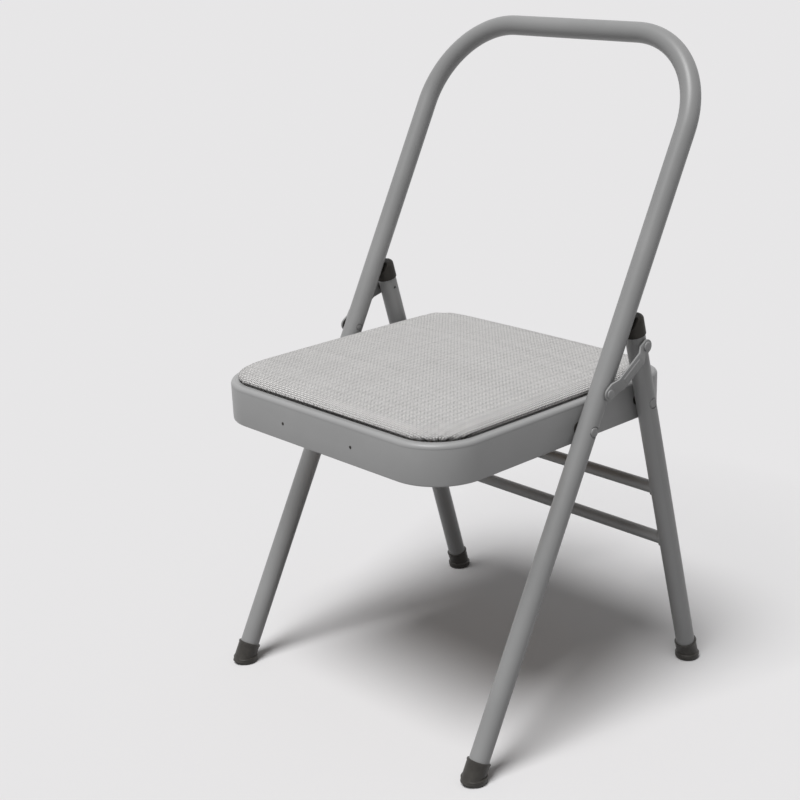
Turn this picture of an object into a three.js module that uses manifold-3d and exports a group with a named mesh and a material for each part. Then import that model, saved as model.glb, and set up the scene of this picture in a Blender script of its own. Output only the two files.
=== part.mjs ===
// Folding backless yoga chair: tube frame with a back hoop, sheet steel seat pan, padded seat.
// Millimetres, +Z up, the seat's front faces -Y. The front legs' axis meets the floor at y = 0
// before the whole chair is moved to stand centred on its origin.
import * as THREE from 'three';
import { mergeVertices } from 'three/addons/utils/BufferGeometryUtils.js';
import Module from 'manifold-3d';

const wasm = await Module();
wasm.setup();

const degree = Math.PI / 180;

// Fits
const gap = 0.3;
const holeClearance = 0.3;
const stopGap = 0.4;
const overrun = 5;

// Frame tubes
const tubeDiameter = 25;
const tubeWall = 1.5;
const overallHeight = 825;
const frontLean = 28 * degree;
const rearLean = 15 * degree;
const hoopBendRadius = 116;
const crossbarDiameter = 16;
const crossbarWall = 1.2;
const crossbarDrop = 126.5;
const crossbarSpacing = 77.2;

// Fold linkage
const seatPivotHeight = 383;
const seatPivotSpacing = 110.5;
const seatRearPivotRise = 8;
const linkLowerRise = 42;
const linkBelowCap = 13.4;

// Seat pan
const panWidth = 408;
const panDepth = 408;
const panHeight = 49.5;
const panBehindPivot = 68;
const panBelowPivot = 18;
const sheet = 1.2;
const frontCornerRadius = 66;
const rearCornerRadius = 42;
const leastCornerRadius = 2;
const topEdgeRadius = 5;
const hemRadius = 1.8;
const hemWidth = 8;
const rimWidth = 9;
const rimLipRadius = 2.6;
const recessDepth = 11.5;
const ledgeWidth = 30;
const bandHoleDiameter = 4;
const bandHoleSpacing = 122;
const bandHoleHeight = 22;

// Pad
const coverThickness = 1.2;
const boardThickness = 8;
const padShoulderRise = 14;
const padShoulderWidth = 12;
const padCrown = 8.5;
const padSideDraw = 1.2;
const padHemWidth = 12;
const padCrownRingShares = [0.78, 0.52, 0.26];
const screwDiameter = 5;
const screwHeadDiameter = 10;
const screwHeadHeight = 3;
const screwGrip = 6;

// Fasteners
const rivetDiameter = 6;
const rivetHeadDiameter = 12;
const rivetHeadHeight = 2.2;
const washerDiameter = 15;
const seatWasherThickness = 1;
const plateThickness = 2;
const plateHeight = 26;
const plateMargin = 20;
const linkWidth = 17;
const linkThickness = 2.5;
const linkJoggle = 2.6;
const linkRampLength = 7;
const linkRibWidth = 7;
const linkRibHeight = 1.2;

// Caps on the rear legs
const capWall = 1;
const capGrip = 10;
const capHead = 14.3;
const capEdgeRadius = 5;
const capStopWall = 1.2;

// Rubber feet
const footWall = 1.3;
const footReach = 27.7;
const footLedge = 2;
const footBaseHeight = 8.5;
const footLedgeRise = 0.8;
const footBevelWidth = 1.7;
const footBevelHeight = 4.5;
const footSole = 3.5;

// Facets
const tubeSides = 24;
const boreSides = 12;
const bendSteps = 9;
const holeSides = 12;
const turnedSides = 16;
const cornerSteps = 6;
const padSideSteps = 4;

// Worked-out places
const tubeRadius = tubeDiameter / 2;
const cupRadius = tubeRadius + gap;
const legX = panWidth / 2 + gap + seatWasherThickness + gap + tubeRadius;
const tubeOuterX = legX + tubeRadius;
const tubeInnerX = legX - tubeRadius;
const frontY = (z) => z * Math.tan(frontLean);
const seatFrontPivot = { y: frontY(seatPivotHeight), z: seatPivotHeight };
const seatRearPivot = {
  y: seatFrontPivot.y + seatPivotSpacing,
  z: seatFrontPivot.z + seatRearPivotRise,
};
const rearFootY = seatRearPivot.y + seatRearPivot.z * Math.tan(rearLean);
const rearY = (z) => rearFootY - z * Math.tan(rearLean);
const alongRear = (z) => z / Math.cos(rearLean);

// The rear leg ends where its cap, cut flat along the front tube, keeps a wall over the tube's end
const frameAngle = frontLean + rearLean;
const stopOffset = tubeRadius + stopGap;
const rearLegEnd = (rearFootY * Math.cos(frontLean) - stopOffset - capStopWall
  - cupRadius * Math.cos(frameAngle)) / Math.sin(frameAngle);
const linkLowerZ = seatPivotHeight + linkLowerRise;
const linkUpperZ = (rearLegEnd - capGrip - linkBelowCap) * Math.cos(rearLean);
const linkLowerPivot = { y: frontY(linkLowerZ), z: linkLowerZ };
const linkUpperPivot = { y: rearY(linkUpperZ), z: linkUpperZ };

const hoopTopZ = overallHeight - tubeRadius;
const panBottom = seatPivotHeight - panBelowPivot;
const panTop = panBottom + panHeight;
const panFront = seatRearPivot.y + panBehindPivot - panDepth;
const panCentreY = panFront + panDepth / 2;
const ledgeTop = panTop - recessDepth;
const recessInset = rimWidth + rimLipRadius;
const originY = (panFront + frontY(hoopTopZ) + tubeRadius) / 2;

// Finishes
const finish = (color, roughness, metalness) => new THREE.MeshStandardMaterial({ color, roughness, metalness });
const paint = () => finish(0x929393, 0.45, 0.3);
const zinc = () => finish(0xb4b6b8, 0.35, 0.9);
const rubber = () => finish(0x423f3a, 0.75, 0);
const nylon = () => finish(0x2b2a28, 0.5, 0);
const linen = () => finish(0xc3c0be, 0.95, 0);
const foam = () => finish(0xe6dcae, 1, 0);
const plywood = () => finish(0xb48a5a, 0.8, 0);

const chair = new THREE.Group();
chair.position.y = -originY;

function add(name, geometry, material) {
  const mesh = new THREE.Mesh(geometry, material);
  mesh.name = name;
  chair.add(mesh);
  return mesh;
}

function place(mesh, x, y, z, turnX) {
  mesh.position.set(x, y, z);
  mesh.rotation.x = turnX;
}

// Solids for cutting and joining
function toSolid(geometry) {
  const bare = geometry.clone();
  bare.deleteAttribute('normal');
  bare.deleteAttribute('uv');
  const merged = mergeVertices(bare);
  return new wasm.Manifold(new wasm.Mesh({
    numProp: 3,
    vertProperties: new Float32Array(merged.attributes.position.array),
    triVerts: new Uint32Array(merged.index.array),
  }));
}

function toGeometry(solid) {
  const mesh = solid.getMesh();
  const geometry = new THREE.BufferGeometry();
  geometry.setAttribute('position', new THREE.BufferAttribute(mesh.vertProperties, 3));
  geometry.setIndex(new THREE.BufferAttribute(mesh.triVerts, 1));
  geometry.computeVertexNormals();
  return geometry;
}

function cut(solid, ...tools) {
  return tools.reduce((rest, tool) => rest.subtract(toSolid(tool)), solid);
}

// A clearance drill through a point, along X or, with drillZ, along Z
function drillX(x, y, z, diameter, length) {
  const radius = diameter / 2 + holeClearance;
  const drill = new THREE.CylinderGeometry(radius, radius, length, holeSides);
  return drill.rotateZ(Math.PI / 2).translate(x, y, z);
}

function drillZ(x, y, z, diameter, length) {
  const radius = diameter / 2 + holeClearance;
  const drill = new THREE.CylinderGeometry(radius, radius, length, holeSides);
  return drill.rotateX(Math.PI / 2).translate(x, y, z);
}

function circle(radius, sides) {
  return Array.from({ length: sides }, (_, step) => {
    const angle = step / sides * Math.PI * 2;
    return new THREE.Vector2(radius * Math.cos(angle), radius * Math.sin(angle));
  });
}

function arc(centreX, centreY, radius, from, to, steps) {
  return Array.from({ length: steps + 1 }, (_, step) => {
    const angle = (from + (to - from) * step / steps) * degree;
    return new THREE.Vector2(centreX + radius * Math.cos(angle), centreY + radius * Math.sin(angle));
  });
}

function tubeSection(diameter, wall) {
  const section = new THREE.Shape(circle(diameter / 2, tubeSides));
  section.holes.push(new THREE.Path(circle(diameter / 2 - wall, boreSides)));
  return section;
}

function straightTube(diameter, wall, length) {
  return new THREE.ExtrudeGeometry(tubeSection(diameter, wall), { depth: length, bevelEnabled: false });
}

// A path through given stations, each with its own tangent, for the bent tube
class StationPath extends THREE.Curve {
  constructor(stations) {
    super();
    this.stations = stations;
  }

  stationAt(t) {
    return this.stations[Math.round(t * (this.stations.length - 1))];
  }

  getPointAt(t) {
    return this.stationAt(t).point.clone();
  }

  getTangentAt(t) {
    return this.stationAt(t).tangent.clone();
  }
}

// How far up a leaning tube's axis its square end sits, so that the lowest corner clears the sole
function tubeEnd(lean) {
  return (footSole + gap + tubeRadius * Math.sin(lean)) / Math.cos(lean);
}

// Front frame: left leg, bend, top bar, bend and right leg, all one tube
function hoopStations() {
  const along = (x, s) => new THREE.Vector3(x, s * Math.sin(frontLean), s * Math.cos(frontLean));
  const bendStart = hoopTopZ / Math.cos(frontLean) - hoopBendRadius;
  const bendCentreX = legX - hoopBendRadius;
  const quarter = Array.from({ length: bendSteps + 1 }, (_, step) => step / bendSteps * Math.PI / 2);
  const bend = (side, angle) => ({
    point: along(
      side * (bendCentreX + hoopBendRadius * Math.cos(angle)),
      bendStart + hoopBendRadius * Math.sin(angle),
    ),
    tangent: along(Math.sin(angle), -side * Math.cos(angle)),
  });
  return [
    { point: along(-legX, tubeEnd(frontLean)), tangent: along(0, 1) },
    ...quarter.map((angle) => bend(-1, angle)),
    ...quarter.reverse().map((angle) => bend(1, angle)),
    { point: along(legX, tubeEnd(frontLean)), tangent: along(0, -1) },
  ];
}

const stations = hoopStations();
const hoopTube = new THREE.ExtrudeGeometry(tubeSection(tubeDiameter, tubeWall), {
  steps: stations.length - 1,
  extrudePath: new StationPath(stations),
});
const throughTube = tubeDiameter + 2 * overrun;
const frameHoles = [-legX, legX].flatMap((x) => [seatFrontPivot, linkLowerPivot].map(
  (pivot) => drillX(x, pivot.y, pivot.z, rivetDiameter, throughTube)));
add('front_frame', toGeometry(cut(toSolid(hoopTube), ...frameHoles)), paint());

// Rear legs: straight tubes that stand on the floor point and lean forwards, up to their caps
function rearLegGeometry() {
  const start = tubeEnd(rearLean);
  const tube = straightTube(tubeDiameter, tubeWall, rearLegEnd - start).translate(0, 0, start);
  const holes = [seatRearPivot, linkUpperPivot].map(
    (pivot) => drillX(0, 0, alongRear(pivot.z), rivetDiameter, throughTube));
  return toGeometry(cut(toSolid(tube), ...holes));
}

// Caps: a plastic cup with a flat head and a slanted flat that stops against the front tube
function capGeometry() {
  const radius = cupRadius + capWall;
  const bottom = rearLegEnd - capGrip;
  const top = rearLegEnd + capHead;
  const cup = new THREE.LatheGeometry([
    new THREE.Vector2(0, rearLegEnd + gap),
    new THREE.Vector2(cupRadius, rearLegEnd + gap),
    new THREE.Vector2(cupRadius, bottom),
    new THREE.Vector2(radius, bottom),
    ...arc(radius - capEdgeRadius, top - capEdgeRadius, capEdgeRadius, 0, 90, 3),
    new THREE.Vector2(0, top),
  ], tubeSides).rotateX(Math.PI / 2);
  const reach = 4 * overallHeight;
  const stop = new THREE.BoxGeometry(reach, reach, reach).translate(0, stopOffset - reach / 2, 0);
  stop.rotateX(-frontLean).translate(0, -rearFootY, 0).rotateX(-rearLean);
  return toGeometry(cut(toSolid(cup), stop));
}

// Feet: a rubber cup along the leaning tube, on a stepped base that is level with the floor
function footGeometry(lean) {
  const sleeveRadius = cupRadius + footWall;
  const baseRadius = sleeveRadius + footLedge;
  const sleeve = new THREE.CylinderGeometry(sleeveRadius, sleeveRadius, 2 * footReach, tubeSides);
  sleeve.rotateX(Math.PI / 2 - lean);
  const base = new THREE.LatheGeometry([
    new THREE.Vector2(0, 0),
    new THREE.Vector2(baseRadius - footBevelWidth, 0),
    new THREE.Vector2(baseRadius, footBevelHeight),
    new THREE.Vector2(baseRadius, footBaseHeight),
    new THREE.Vector2(sleeveRadius, footBaseHeight + footLedgeRise),
    new THREE.Vector2(0, footBaseHeight + footLedgeRise),
  ], tubeSides);
  base.rotateX(Math.PI / 2).translate(0, Math.tan(lean) * footBaseHeight, 0);
  const below = 4 * footReach;
  const trim = new THREE.BoxGeometry(below, below, below).translate(0, 0, footBaseHeight - below / 2);
  const boreStart = tubeEnd(Math.abs(lean)) - gap;
  const bore = new THREE.CylinderGeometry(cupRadius, cupRadius, footReach, tubeSides);
  bore.translate(0, boreStart + footReach / 2, 0).rotateX(Math.PI / 2 - lean);
  return toGeometry(cut(cut(toSolid(sleeve), trim).add(toSolid(base)), bore));
}

for (const [side, x] of [['left', -legX], ['right', legX]]) {
  place(add(`rear_leg_${side}`, rearLegGeometry(), paint()), x, rearFootY, 0, rearLean);
  place(add(`rear_leg_cap_${side}`, capGeometry(), nylon()), x, rearFootY, 0, rearLean);
  place(add(`front_foot_${side}`, footGeometry(frontLean), rubber()), x, 0, 0, 0);
  place(add(`rear_foot_${side}`, footGeometry(-rearLean), rubber()), x, rearFootY, 0, 0);
}

// Cross bars: coped to the rear legs they are welded to
function crossbarGeometry(z) {
  const bar = straightTube(crossbarDiameter, crossbarWall, 2 * legX);
  bar.rotateY(Math.PI / 2).translate(-legX, rearY(z), z);
  const legs = [-legX, legX].map((x) => {
    const leg = new THREE.CylinderGeometry(cupRadius, cupRadius, alongRear(overallHeight), tubeSides);
    return leg.rotateX(Math.PI / 2 + rearLean).translate(x, rearY(z), z);
  });
  return toGeometry(cut(toSolid(bar), ...legs));
}

const crossbarTopZ = seatRearPivot.z - crossbarDrop;
add('rear_crossbar_upper', crossbarGeometry(crossbarTopZ), paint());
add('rear_crossbar_lower', crossbarGeometry(crossbarTopZ - crossbarSpacing), paint());

// Rounded outline of the seat, pulled in by an inset, as a ring of points. Its straight sides
// can be divided, and drawn in between the corners as a stuffed cover's sides are.
function seatOutline(inset, sideDraw, sideDivisions) {
  const corners = [
    { sx: 1, sy: 1, radius: rearCornerRadius },
    { sx: -1, sy: 1, radius: rearCornerRadius },
    { sx: -1, sy: -1, radius: frontCornerRadius },
    { sx: 1, sy: -1, radius: frontCornerRadius },
  ].map(({ sx, sy, radius }, quarter) => {
    const turn = Math.max(radius - inset, leastCornerRadius);
    const x = sx * (panWidth / 2 - inset - turn);
    const y = panCentreY + sy * (panDepth / 2 - inset - turn);
    return arc(x, y, turn, quarter * 90, quarter * 90 + 90, cornerSteps);
  });
  return corners.flatMap((corner, index) => {
    const from = corner[cornerSteps];
    const to = corners[(index + 1) % corners.length][0];
    const inward = to.clone().sub(from).rotateAround(new THREE.Vector2(), Math.PI / 2).normalize();
    const side = Array.from({ length: sideDivisions - 1 }, (_, step) => {
      const share = (step + 1) / sideDivisions;
      return from.clone().lerp(to, share).addScaledVector(inward, sideDraw * Math.sin(share * Math.PI));
    });
    return [...corner, ...side];
  });
}

function ringAt(outline, z) {
  return outline.map((point) => new THREE.Vector3(point.x, point.y, z));
}

// Skin over rings of points that climb anticlockwise: closed in a loop of rings, or with the
// first and the last ring each closed by a fan to a tip
function skinGeometry(rings, tips) {
  const count = rings[0].length;
  const points = [...rings.flat(), ...tips];
  const faces = [];
  const bands = tips.length ? rings.length - 1 : rings.length;
  for (let ring = 0; ring < bands; ring += 1) {
    const here = ring * count;
    const next = ((ring + 1) % rings.length) * count;
    for (let step = 0; step < count; step += 1) {
      const other = (step + 1) % count;
      faces.push(here + step, here + other, next + other, here + step, next + other, next + step);
    }
  }
  if (tips.length) {
    const last = (rings.length - 1) * count;
    for (let step = 0; step < count; step += 1) {
      const other = (step + 1) % count;
      faces.push(other, step, points.length - 2);
      faces.push(last + step, last + other, points.length - 1);
    }
  }
  const geometry = new THREE.BufferGeometry().setFromPoints(points);
  geometry.setIndex(faces);
  return geometry;
}

// Seat pan: the sheet's middle line as inset and height, given its thickness and swept round
function sheetProfile(line, thickness) {
  const sides = [1, -1].map((sign) => line.map((point, index) => {
    const before = line[Math.max(index - 1, 0)];
    const after = line[Math.min(index + 1, line.length - 1)];
    const into = point.clone().sub(before).normalize();
    const out = after.clone().sub(point).normalize();
    if (index === 0) into.copy(out);
    if (index === line.length - 1) out.copy(into);
    const mean = into.clone().add(out).normalize();
    const reach = sign * thickness / 2 / mean.dot(into);
    return new THREE.Vector2(point.x - mean.y * reach, point.y + mean.x * reach);
  }));
  return [...sides[0], ...sides[1].reverse()];
}

const half = sheet / 2;
const panLine = [
  new THREE.Vector2(hemWidth, half),
  ...arc(hemRadius, hemRadius, hemRadius - half, 270, 180, 2),
  ...arc(topEdgeRadius, panHeight - topEdgeRadius, topEdgeRadius - half, 180, 90, 3),
  ...arc(rimWidth, panHeight - rimLipRadius, rimLipRadius - half, 90, 0, 2),
  new THREE.Vector2(recessInset - half, panHeight - recessDepth - half),
  new THREE.Vector2(recessInset + ledgeWidth, panHeight - recessDepth - half),
];
const panRings = sheetProfile(panLine, sheet).map(
  (point) => ringAt(seatOutline(point.x, 0, 1), panBottom + point.y));
const pivotHoles = [-1, 1].flatMap((side) => [seatFrontPivot, seatRearPivot].map(
  (pivot) => drillX(side * panWidth / 2, pivot.y, pivot.z, rivetDiameter, 2 * overrun)));
const bandHoles = [-1, 1].map((side) => {
  const radius = bandHoleDiameter / 2;
  const hole = new THREE.CylinderGeometry(radius, radius, 2 * overrun, holeSides);
  return hole.translate(side * bandHoleSpacing / 2, panFront, panBottom + bandHoleHeight);
});

// The pad's screws pass the ledge between the cover's hem and the ledge's edge
const padInset = recessInset + gap;
const screwInset = (padInset + padHemWidth + recessInset + ledgeWidth) / 2;
const screwPlaces = [
  { corner: 'front_left', sx: -1, sy: -1, radius: frontCornerRadius },
  { corner: 'front_right', sx: 1, sy: -1, radius: frontCornerRadius },
  { corner: 'rear_left', sx: -1, sy: 1, radius: rearCornerRadius },
  { corner: 'rear_right', sx: 1, sy: 1, radius: rearCornerRadius },
].map(({ corner, sx, sy, radius }) => ({
  corner,
  x: sx * (panWidth / 2 - radius),
  y: panCentreY + sy * (panDepth / 2 - screwInset),
}));
const ledgeHoles = screwPlaces.map(({ x, y }) => drillZ(x, y, ledgeTop, screwDiameter, 2 * overrun));
const pan = cut(toSolid(skinGeometry(panRings, [])), ...pivotHoles, ...bandHoles, ...ledgeHoles);
add('seat_pan', toGeometry(pan), paint());

// Stiffening plates inside the apron, one strip on each side that both seat rivets pass through
const plateFace = panWidth / 2 - sheet - gap;
for (const [side, sign] of [['left', -1], ['right', 1]]) {
  const length = seatPivotSpacing + 2 * plateMargin;
  const x = sign * (plateFace - plateThickness / 2);
  const midY = (seatFrontPivot.y + seatRearPivot.y) / 2;
  const midZ = (seatFrontPivot.z + seatRearPivot.z) / 2;
  const strip = new THREE.BoxGeometry(plateThickness, length, plateHeight).translate(x, midY, midZ);
  const holes = [seatFrontPivot, seatRearPivot].map(
    (pivot) => drillX(x, pivot.y, pivot.z, rivetDiameter, 2 * overrun));
  add(`pivot_plate_${side}`, toGeometry(cut(toSolid(strip), ...holes)), paint());
}

// Pad: board, foam and a cover drawn round both and turned under the board
const padBottom = ledgeTop + gap;
const boardInset = padInset + coverThickness + gap;
const boardBottom = padBottom + coverThickness + gap;
const boardTop = boardBottom + boardThickness;

// The pad's form, shrunk by an inset all round: straight in the recess, a rounded shoulder, and
// a crown that is fullest in the middle and dies out towards all four sides
function padForm(shrink, bottom) {
  const inset = padInset + shrink;
  const shoulderInset = inset + padShoulderWidth;
  const shoulderZ = panTop + padShoulderRise - shrink;
  const outline = (pull) => seatOutline(pull, padSideDraw, padSideSteps);
  const shoulder = arc(0, 0, 1, 180, 90, 3).map((point) => ringAt(
    outline(shoulderInset + padShoulderWidth * point.x),
    panTop - shrink + padShoulderRise * point.y,
  ));
  const edge = outline(shoulderInset);
  const halfWidth = panWidth / 2 - shoulderInset;
  const halfDepth = panDepth / 2 - shoulderInset;
  const crown = padCrownRingShares.map((share) => edge.map((point) => {
    const x = point.x * share;
    const y = (point.y - panCentreY) * share;
    const rise = padCrown * (1 - (x / halfWidth) ** 2) * (1 - (y / halfDepth) ** 2);
    return new THREE.Vector3(x, panCentreY + y, shoulderZ + rise);
  }));
  const rings = [ringAt(outline(inset), bottom), ...shoulder, ...crown];
  const tips = [
    new THREE.Vector3(0, panCentreY, bottom),
    new THREE.Vector3(0, panCentreY, shoulderZ + padCrown),
  ];
  return toSolid(skinGeometry(rings, tips));
}

const hemOpening = new THREE.ExtrudeGeometry(
  new THREE.Shape(seatOutline(padInset + padHemWidth, 0, 1)),
  { depth: 2 * overrun, bevelEnabled: false },
).translate(0, 0, padBottom - overrun);
const hollow = padForm(coverThickness, padBottom + coverThickness);
const cover = padForm(0, padBottom).subtract(hollow).subtract(toSolid(hemOpening));
add('cushion_cover', toGeometry(cover), linen());
add('cushion_foam', toGeometry(padForm(coverThickness + gap, boardTop + gap)), foam());

const boardShape = new THREE.Shape(seatOutline(boardInset, padSideDraw, padSideSteps));
const board = new THREE.ExtrudeGeometry(boardShape, { depth: boardThickness, bevelEnabled: false });
board.translate(0, 0, boardBottom);
const boardHoles = screwPlaces.map(
  ({ x, y }) => drillZ(x, y, boardBottom, screwDiameter, 2 * (screwGrip + gap)));
add('cushion_board', toGeometry(cut(toSolid(board), ...boardHoles)), plywood());

// Screws from below, through the pan's ledge into the board
function screwGeometry() {
  const headTop = ledgeTop - sheet - gap;
  const headRadius = screwHeadDiameter / 2;
  const crown = headTop - screwHeadHeight;
  return new THREE.LatheGeometry([
    new THREE.Vector2(0, crown),
    new THREE.Vector2(headRadius * 3 / 4, crown),
    new THREE.Vector2(headRadius, crown + screwHeadHeight / 2),
    new THREE.Vector2(headRadius, headTop),
    new THREE.Vector2(screwDiameter / 2, headTop),
    new THREE.Vector2(screwDiameter / 2, boardBottom + screwGrip),
    new THREE.Vector2(0, boardBottom + screwGrip),
  ], holeSides).rotateX(Math.PI / 2);
}

screwPlaces.forEach(({ corner, x, y }) => {
  place(add(`cushion_screw_${corner}`, screwGeometry(), zinc()), x, y, 0, 0);
});

// Rivets: a low dome outside, a shank, and where there is room an upset tail inside.
// Along +Z here; the shank starts at its inner end, and the head seats at headSeat.
function rivetGeometry(innerEnd, headSeat, tailed) {
  const headRadius = rivetHeadDiameter / 2;
  const shank = rivetDiameter / 2;
  const dome = arc(0, 0, 1, 0, 60, 2).map(
    (point) => new THREE.Vector2(headRadius * point.x, headSeat + rivetHeadHeight * point.y));
  const tail = tailed ? [
    new THREE.Vector2(0, innerEnd - rivetHeadHeight),
    new THREE.Vector2(headRadius * 3 / 4, innerEnd - rivetHeadHeight),
    new THREE.Vector2(headRadius, innerEnd),
  ] : [new THREE.Vector2(0, innerEnd)];
  return new THREE.LatheGeometry([
    ...tail,
    new THREE.Vector2(shank, innerEnd),
    new THREE.Vector2(shank, headSeat),
    ...dome,
    new THREE.Vector2(0, headSeat + rivetHeadHeight),
  ], turnedSides).rotateX(Math.PI / 2);
}

function pinGeometry(innerEnd, outerEnd) {
  const radius = rivetDiameter / 2;
  const pin = new THREE.CylinderGeometry(radius, radius, outerEnd - innerEnd, turnedSides);
  return pin.rotateX(Math.PI / 2).translate(0, 0, (innerEnd + outerEnd) / 2);
}

function washerGeometry(innerFace, thickness) {
  const bore = rivetDiameter / 2 + holeClearance;
  const rim = washerDiameter / 2;
  return new THREE.LatheGeometry([
    new THREE.Vector2(bore, innerFace),
    new THREE.Vector2(rim, innerFace),
    new THREE.Vector2(rim, innerFace + thickness),
    new THREE.Vector2(bore, innerFace + thickness),
    new THREE.Vector2(bore, innerFace),
  ], turnedSides).rotateX(Math.PI / 2);
}

// Turns a piece made along +Z to point outwards, away from the chair's middle, at a pivot
function placeAtPivot(mesh, sign, pivot) {
  mesh.position.set(0, pivot.y, pivot.z);
  mesh.rotation.y = sign * Math.PI / 2;
}

// The link's washers are as thick as the caps' wall, so that the link passes over the cap
const linkWasherThickness = capWall;
const headSeat = tubeOuterX + gap;
const tailSeat = plateFace - plateThickness - gap;
const linkFace = headSeat + linkWasherThickness + gap;
const linkHeadSeat = linkFace + linkThickness + gap;
for (const [side, sign] of [['left', -1], ['right', 1]]) {
  for (const [end, pivot] of [['front', seatFrontPivot], ['rear', seatRearPivot]]) {
    const rivet = rivetGeometry(tailSeat, headSeat, true);
    placeAtPivot(add(`seat_${end}_rivet_${side}`, rivet, paint()), sign, pivot);
    const washer = washerGeometry(panWidth / 2 + gap, seatWasherThickness);
    placeAtPivot(add(`seat_${end}_washer_${side}`, washer, nylon()), sign, pivot);
  }
  for (const [end, pivot] of [['lower', linkLowerPivot], ['upper', linkUpperPivot]]) {
    const washer = washerGeometry(headSeat, linkWasherThickness);
    placeAtPivot(add(`link_${end}_washer_${side}`, washer, nylon()), sign, pivot);
  }
  const lowerRivet = rivetGeometry(tubeInnerX + gap, linkHeadSeat, false);
  placeAtPivot(add(`link_lower_rivet_${side}`, lowerRivet, paint()), sign, linkLowerPivot);
  const upperRivet = rivetGeometry(linkFace, linkHeadSeat, false);
  placeAtPivot(add(`link_upper_rivet_${side}`, upperRivet, paint()), sign, linkUpperPivot);
  const upperPin = pinGeometry(tubeInnerX + gap, linkFace - gap);
  placeAtPivot(add(`link_upper_pin_${side}`, upperPin, zinc()), sign, linkUpperPivot);
}

// Links: a pressed strip, flat at its round ends and stepped outwards with a rib between them
const linkSpan = Math.hypot(linkUpperPivot.y - linkLowerPivot.y, linkUpperPivot.z - linkLowerPivot.z);
const linkAngle = Math.atan2(linkUpperPivot.z - linkLowerPivot.z, linkUpperPivot.y - linkLowerPivot.y);

function linkGeometry() {
  const endRadius = linkWidth / 2;
  const depth = linkThickness + linkJoggle + 2 * overrun;
  const plan = new THREE.ExtrudeGeometry(new THREE.Shape([
    ...arc(linkSpan, 0, endRadius, -90, 90, boreSides / 2),
    ...arc(0, 0, endRadius, 90, 270, boreSides / 2),
  ]), { depth, bevelEnabled: false }).translate(0, 0, -overrun);
  const lifts = [
    [-linkWidth, 0],
    [endRadius, 0],
    [endRadius + linkRampLength, linkJoggle],
    [linkSpan - endRadius - linkRampLength, linkJoggle],
    [linkSpan - endRadius, 0],
    [linkSpan + linkWidth, 0],
  ];
  const strip = new THREE.ExtrudeGeometry(new THREE.Shape([
    ...lifts.map(([x, lift]) => new THREE.Vector2(x, lift)),
    ...lifts.reverse().map(([x, lift]) => new THREE.Vector2(x, lift + linkThickness)),
  ]), { depth: 2 * linkWidth, bevelEnabled: false });
  strip.translate(0, 0, -linkWidth).rotateX(Math.PI / 2);
  const ribStart = endRadius + linkRampLength;
  const ribFoot = linkJoggle + linkThickness / 2;
  const ribTop = linkJoggle + linkThickness + linkRibHeight;
  const rib = new THREE.ExtrudeGeometry(new THREE.Shape([
    new THREE.Vector2(-linkRibWidth / 2, ribFoot),
    new THREE.Vector2(linkRibWidth / 2, ribFoot),
    new THREE.Vector2(linkRibWidth / 4, ribTop),
    new THREE.Vector2(-linkRibWidth / 4, ribTop),
  ]), { depth: linkSpan - 2 * ribStart, bevelEnabled: false });
  rib.rotateX(Math.PI / 2).rotateZ(Math.PI / 2).translate(ribStart, 0, 0);
  const holes = [0, linkSpan].map((x) => drillZ(x, 0, 0, rivetDiameter, depth));
  return toGeometry(cut(toSolid(strip).intersect(toSolid(plan)).add(toSolid(rib)), ...holes));
}

for (const [side, sign] of [['left', -1], ['right', 1]]) {
  const link = add(`link_${side}`, linkGeometry(), paint());
  const along = new THREE.Vector3(0, Math.cos(linkAngle), Math.sin(linkAngle));
  const outwards = new THREE.Vector3(sign, 0, 0);
  const across = outwards.clone().cross(along);
  link.quaternion.setFromRotationMatrix(new THREE.Matrix4().makeBasis(along, across, outwards));
  link.position.set(sign * linkFace, linkLowerPivot.y, linkLowerPivot.z);
}

export default chair;
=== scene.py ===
import math

import bmesh
import bpy
from mathutils import Matrix, Vector


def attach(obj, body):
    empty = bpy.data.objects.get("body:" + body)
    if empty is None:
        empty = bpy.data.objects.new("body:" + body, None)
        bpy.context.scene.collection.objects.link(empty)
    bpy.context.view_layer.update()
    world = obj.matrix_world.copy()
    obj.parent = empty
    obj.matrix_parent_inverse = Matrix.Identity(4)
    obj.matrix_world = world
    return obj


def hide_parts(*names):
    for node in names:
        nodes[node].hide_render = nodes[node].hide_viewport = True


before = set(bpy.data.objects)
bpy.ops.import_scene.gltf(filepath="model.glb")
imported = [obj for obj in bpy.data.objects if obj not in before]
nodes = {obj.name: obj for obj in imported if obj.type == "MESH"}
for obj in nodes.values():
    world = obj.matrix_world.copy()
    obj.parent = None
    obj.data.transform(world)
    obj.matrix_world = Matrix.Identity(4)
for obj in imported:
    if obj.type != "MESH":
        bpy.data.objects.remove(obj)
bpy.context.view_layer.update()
bpy.ops.object.select_all(action='DESELECT')

# Studio: a plain pale floor under one wide soft lamp, high above and a little in front of the
# chair, and an even dome of weaker light all round it.
view_turn = math.radians(44.583)
view_dip = math.radians(20.116)
view_roll = math.radians(-1.109)
view_place = Vector((1.266835, -1.248512, 0.967269))
bpy.ops.object.camera_add(location=view_place)
camera = bpy.context.object
camera.name = "photo_camera"
camera.matrix_world = (Matrix.Translation(view_place)
                       @ Matrix.Rotation(view_turn, 4, 'Z')
                       @ Matrix.Rotation(math.pi / 2 - view_dip, 4, 'X')
                       @ Matrix.Rotation(view_roll, 4, 'Z'))
camera.data.sensor_width = 36
camera.data.lens = 66.237
camera.data.shift_x = -0.1
camera.data.shift_y = 0.05
camera.data.clip_end = 200
bpy.context.scene.camera = camera
bpy.context.scene.view_settings.view_transform = 'Standard'

bpy.ops.object.light_add(type='SUN', location=(0, -1.2, 2.6),
                         rotation=(math.radians(23.5), 0, math.radians(5.5)))
lamp = bpy.context.object
lamp.name = "top_lamp"
lamp.data.energy = 2.65
lamp.data.angle = math.radians(29)

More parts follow.
